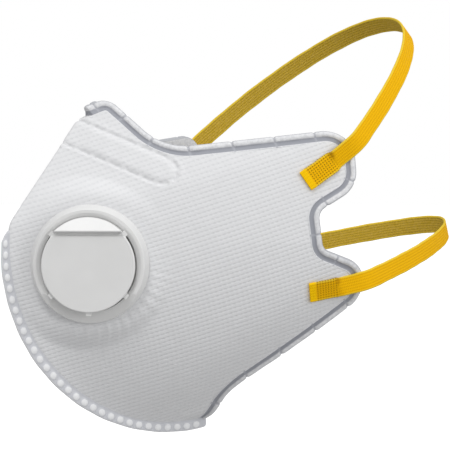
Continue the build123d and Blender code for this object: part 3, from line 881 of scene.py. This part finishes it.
def rim_material():
    n = Nodes("welded_edge_material")
    _, notch, w, h = n.attribute("weave")
    flipped = n.maths("MULTIPLY", w, -1.0)
    # mask of the pressed groove on the rim's top face, where painted shade goes
    groove = n.maths("MULTIPLY", n.ramp(w, 1.65, 2.05), n.ramp(flipped, -3.6, -3.25))
    top = n.ramp(h, -0.6, -0.3)
    groove = n.maths("MULTIPLY", groove, top)
    fibre = n.noise(2600, 3.0)
    patches = n.ramp(n.noise(900, 3.0), 0.35, 0.65)
    bead = n.mix(patches, (0.70, 0.705, 0.725, 1), (0.82, 0.825, 0.84, 1))
    # painted shade: the bead's edge wall, which turns away from the light, is darker than its top
    bead = n.mix(n.ramp(flipped, -0.6, -0.1), bead, (0.46, 0.47, 0.50, 1))
    # painted shade: the groove's own bluish grey of the pressed weld, deepened to near-dark to
    # stand in for the shadow inside the groove
    base = n.mix(groove, bead, (0.33, 0.34, 0.38, 1))
    # painted shade in the cross-cut notches of the bead, on its top face
    line = n.ramp(notch, 0.1, 0.75)
    line = n.maths("MULTIPLY", n.maths("MULTIPLY", line, top), 0.75)
    base = n.mix(line, base, (0.42, 0.43, 0.47, 1))
    normal = n.bump(fibre, 0.00005, 0.6)
    return n.finish(base, 0.5, normal, Specular_IOR_Level=0.4, Sheen_Weight=0.05)


def fin_material():
    n = Nodes("front_fin_material")
    _, s, r, dome = n.attribute("weave")
    fibre = n.noise(3000, 3.0)
    lit = n.ramp(dome, 0.15, 0.7)
    base = n.mix(lit, (0.62, 0.63, 0.665, 1), (0.86, 0.865, 0.88, 1))
    rim = n.ramp(r, 2.5, 2.9)
    base = n.mix(n.maths("MULTIPLY", rim, 0.7), base, (0.78, 0.785, 0.8, 1))
    normal = n.bump(fibre, 0.00005, 0.5)
    return n.finish(base, 0.45, normal, Specular_IOR_Level=0.4)


def strap_material():
    n = Nodes("strap_elastic_material")
    _, s, w, face = n.attribute("weave")
    _, press, plain, crease = n.attribute("press")
    count = RIBS / (2 * RIB_SPAN * STRAP_HALF_WIDTH)
    rib = n.maths("ABSOLUTE", n.maths("COSINE", n.maths("MULTIPLY", w, math.pi * count)))
    gap = n.maths("SUBTRACT", 1.0, n.ramp(rib, 0.0, 0.55))
    slant = n.maths("MULTIPLY", s, 2 * math.pi / KNIT_PITCH)
    slant = n.maths("ADD", slant, n.maths("MULTIPLY", rib, 2.2))
    knit = n.maths("ADD", n.maths("MULTIPLY", n.maths("SINE", slant), 0.5), 0.5)
    speck = n.noise(1500, 2.0)
    outer = n.mix(n.maths("MULTIPLY", gap, 0.75), (0.92, 0.50, 0.0, 1), (0.72, 0.34, 0.0, 1))
    outer = n.mix(n.maths("MULTIPLY", knit, 0.18), outer, (0.98, 0.58, 0.01, 1))
    inner = n.mix(n.maths("MULTIPLY", gap, 0.8), (0.60, 0.40, 0.035, 1), (0.33, 0.20, 0.01, 1))
    flecks = n.maths("MULTIPLY", n.ramp(speck, 0.42, 0.62), 0.35)
    inner = n.mix(flecks, inner, (0.75, 0.52, 0.12, 1))
    back = n.ramp(n.maths("MULTIPLY", face, -1.0), -0.4, 0.4)
    base = n.mix(back, outer, inner)
    selvedge = n.ramp(n.maths("ABSOLUTE", w), 2.75, 2.95)
    base = n.mix(n.maths("MULTIPLY", selvedge, 0.85), base, (0.86, 0.62, 0.05, 1))
    column = n.maths("COSINE", n.maths("MULTIPLY", s, 2 * math.pi / PIT_PITCH))
    across = n.maths("COSINE", n.maths("MULTIPLY", w, 2 * math.pi / 0.83))
    pit = n.maths("MULTIPLY", n.ramp(column, -0.5, 0.7), n.ramp(across, -0.5, 0.7))
    pressed = n.maths("MULTIPLY", press, n.ramp(pit, 0.2, 0.8))
    base = n.mix(n.maths("MULTIPLY", pressed, 0.85), base, (0.36, 0.17, 0.0, 1))
    base = n.mix(n.maths("MULTIPLY", plain, 0.9), base, (1.0, 0.60, 0.0, 1))
    # painted shadow along the crease where the strap lifts off its weld pad, on one side of the
    # band
    base = n.mix(n.maths("MULTIPLY", n.maths("MULTIPLY", crease, n.ramp(w, 0.4, 1.8)), 0.75),
                 base, (0.42, 0.20, 0.0, 1))
    height = n.maths("ADD", n.maths("MULTIPLY", knit, 0.5), n.maths("MULTIPLY", speck, 0.3))
    height = n.maths("SUBTRACT", height, n.maths("MULTIPLY", pressed, 1.2))
    normal = n.bump(height, 0.00012, 0.8)
    return n.finish(base, 0.8, normal, Specular_IOR_Level=0.12)


def plastic_material(name, colour, roughness=0.34):
    n = Nodes(name)
    grain = n.noise(1400, 3.0)
    slow = n.noise(90, 2.0)
    base = n.mix(n.ramp(slow, 0.3, 0.7), colour, tuple(c * 0.97 for c in colour[:3]) + (1,))
    rough = n.maths("ADD", n.maths("MULTIPLY", grain, 0.12), roughness - 0.06)
    normal = n.bump(grain, 0.00002, 0.35)
    return n.finish(base, rough, normal, Specular_IOR_Level=0.5)


def foam_material():
    n = Nodes("foam_material")
    cells = n.add("ShaderNodeTexVoronoi")
    cells.inputs["Scale"].default_value = 1900
    n.link(n.tree.nodes.new("ShaderNodeTexCoord").outputs["Object"], cells.inputs["Vector"])
    shade = n.ramp(cells.outputs["Distance"], 0.1, 0.6)
    base = n.mix(shade, (0.33, 0.34, 0.36, 1), (0.62, 0.63, 0.65, 1))
    normal = n.bump(cells.outputs["Distance"], 0.0002, 0.8)
    return n.finish(base, 0.9, normal, Specular_IOR_Level=0.15)


def metal_material():
    n = Nodes("clip_metal_material")
    brushed = n.noise(900, 4.0)
    base = n.mix(brushed, (0.62, 0.63, 0.65, 1), (0.75, 0.76, 0.78, 1))
    rough = n.maths("ADD", n.maths("MULTIPLY", brushed, 0.2), 0.28)
    return n.finish(base, rough, n.bump(brushed, 0.00003, 0.4), Metallic=0.9)


def floor_material():
    n = Nodes("floor_material")
    grain = n.noise(40, 2.0)
    base = n.mix(grain, (0.90, 0.90, 0.905, 1), (0.92, 0.92, 0.92, 1))
    n.finish(base, 0.9, Specular_IOR_Level=0.1, Emission_Color=(1, 1, 1, 1), Emission_Strength=0.5)
    dim = n.add("ShaderNodeBsdfDiffuse")
    dim.inputs["Color"].default_value = (0.45, 0.45, 0.45, 1)
    chosen = n.add("ShaderNodeMixShader")
    n.link(n.add("ShaderNodeLightPath").outputs["Is Camera Ray"], chosen.inputs[0])
    n.link(dim.outputs[0], chosen.inputs[1])
    n.link(n.shader.outputs[0], chosen.inputs[2])
    n.link(chosen.outputs[0], n.tree.nodes["Material Output"].inputs["Surface"])
    return n.material


# ---------------------------------------------------------------- camera
TARGET = Vector((0.0, 0.0312, 0.0133))
CAMERA_AZIMUTH = math.radians(60.0)
CAMERA_ELEVATION = math.radians(1.5)
CAMERA_DISTANCE = 0.70
back = Vector((math.sin(CAMERA_AZIMUTH) * math.cos(CAMERA_ELEVATION),
               -math.cos(CAMERA_AZIMUTH) * math.cos(CAMERA_ELEVATION),
               math.sin(CAMERA_ELEVATION)))
camera_data = bpy.data.cameras.new("camera")
camera_data.sensor_width = 36.0
camera_data.lens = 156.8
camera = bpy.data.objects.new("camera", camera_data)
bpy.context.scene.collection.objects.link(camera)
camera.location = TARGET + CAMERA_DISTANCE * back
camera.rotation_mode = "QUATERNION"
camera.rotation_quaternion = (-back).to_track_quat("-Z", "Y")
bpy.context.scene.camera = camera

# ---------------------------------------------------------------- pieces of the mask
FABRIC = web_material("outer_web_material", (0.80, 0.803, 0.815, 1), (0.60, 0.61, 0.635, 1), True)
LINING = web_material("lining_material", (0.82, 0.82, 0.825, 1), (0.7, 0.7, 0.7, 1), False)
FILTER = web_material("filter_media_material", (0.84, 0.84, 0.85, 1), (0.7, 0.7, 0.7, 1), False)
RIM_LOOK = rim_material()
FIN_LOOK = fin_material()
STRAP_LOOK = strap_material()
PLASTIC = plastic_material("valve_plastic_material", (0.79, 0.79, 0.785, 1))
RUBBER = plastic_material("valve_rubber_material", (0.72, 0.70, 0.62, 1), 0.5)
FOAM = foam_material()
METAL = metal_material()

outer = make_sheet("outer_web_piece", FABRIC, 0.0, 3.4, 0.0, 0.7, 0.9,
                   WEAVE_PITCH / 4, 2.0, web_relief, True)
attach(outer, "mask")
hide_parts("outer_shell")

lining = make_sheet("lining_piece", LINING, 2.1, 3.5, 1.66, 0.5, 0.6,
                    1.2, 2.0, lining_relief, True)
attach(lining, "mask")
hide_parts("inner_lining")

rim = make_rim("rim_piece", RIM_LOOK)
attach(rim, "mask")
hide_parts("rim_weld")

fin = make_fin("front_fin_piece", FIN_LOOK)
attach(fin, "mask")
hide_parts("front_weld_seam")

foam = bpy.data.objects.new("nose_foam_piece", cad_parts["nose_foam"].data.copy())
bpy.context.scene.collection.objects.link(foam)
foam.data.materials.clear()
foam.data.materials.append(FOAM)
remesh = foam.modifiers.new("remesh", "REMESH")
remesh.mode = "VOXEL"
remesh.voxel_size = 0.0007
soften = foam.modifiers.new("soften", "SMOOTH")
soften.factor = 0.5
soften.iterations = 6
graph = bpy.context.evaluated_depsgraph_get()
foam_mesh = bpy.data.meshes.new_from_object(foam.evaluated_get(graph))
foam.modifiers.clear()
foam.data = foam_mesh
foam.data.shade_smooth()
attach(foam, "mask")
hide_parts("nose_foam")

for label, spec in STRAPS.items():
    strap = make_strap(f"{label}_strap_piece", spec, STRAP_LOOK)
    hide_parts(f"{label}_strap", f"{label}_strap_end_left", f"{label}_strap_end_right")

LOOKS = {
    "filter_layer": FILTER, "nose_clip": METAL, "valve_base": PLASTIC, "valve_cap": PLASTIC,
    "flap_clamp": PLASTIC, "valve_inner_ring": PLASTIC, "valve_flap": RUBBER,
}
for node, look in LOOKS.items():
    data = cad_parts[node].data
    data.materials.clear()
    data.materials.append(look)

# ---------------------------------------------------------------- floor and light
FLOOR_GAP = 0.05
bpy.ops.mesh.primitive_circle_add(vertices=96, radius=8.0, fill_type="NGON",
                                  location=(0, 0, cad_low.z - FLOOR_GAP))
floor = bpy.context.object
floor.name = "floor"
floor.data.materials.append(floor_material())

world = bpy.data.worlds.new("studio")
world.use_nodes = True
bpy.context.scene.world = world


SKY_LOW = 0.55
SKY_HIGH = 0.98


def light_world(tree):
    """White backdrop to the eye, and a soft overhead sky to everything it lights."""
    seen = tree.nodes["Background"]
    seen.inputs["Color"].default_value = (1, 1, 1, 1)
    seen.inputs["Strength"].default_value = 1.0
    sky = tree.nodes.new("ShaderNodeBackground")
    split = tree.nodes.new("ShaderNodeSeparateXYZ")
    tree.links.new(tree.nodes.new("ShaderNodeTexCoord").outputs["Generated"], split.inputs[0])
    height = tree.nodes.new("ShaderNodeMapRange")
    height.interpolation_type = "SMOOTHSTEP"
    height.inputs["From Min"].default_value = -0.3
    height.inputs["From Max"].default_value = 0.9
    height.inputs["To Min"].default_value = SKY_LOW
    height.inputs["To Max"].default_value = SKY_HIGH
    tree.links.new(split.outputs["Z"], height.inputs["Value"])
    tree.links.new(height.outputs["Result"], sky.inputs["Strength"])
    chosen = tree.nodes.new("ShaderNodeMixShader")
    tree.links.new(tree.nodes.new("ShaderNodeLightPath").outputs["Is Camera Ray"], chosen.inputs[0])
    tree.links.new(sky.outputs[0], chosen.inputs[1])
    tree.links.new(seen.outputs[0], chosen.inputs[2])
    tree.links.new(chosen.outputs[0], tree.nodes["World Output"].inputs["Surface"])


light_world(world.node_tree)


def softbox(name, azimuth, elevation, distance, size, power):
    a, e = math.radians(azimuth), math.radians(elevation)
    way = Vector((math.sin(a) * math.cos(e), -math.cos(a) * math.cos(e), math.sin(e)))
    data = bpy.data.lights.new(name, "AREA")
    data.shape = "DISK"
    data.size = size
    data.energy = power
    light = bpy.data.objects.new(name, data)
    light.location = Vector((0, 0, 0.01)) + distance * way
    light.rotation_mode = "QUATERNION"
    light.rotation_quaternion = way.to_track_quat("Z", "Y")
    bpy.context.scene.collection.objects.link(light)
    return light


softbox("key", 46, 50, 1.2, 0.4, 4.0)
softbox("side", 112, 14, 1.2, 0.8, 3.6)
bpy.context.scene.view_settings.view_transform = "Standard"
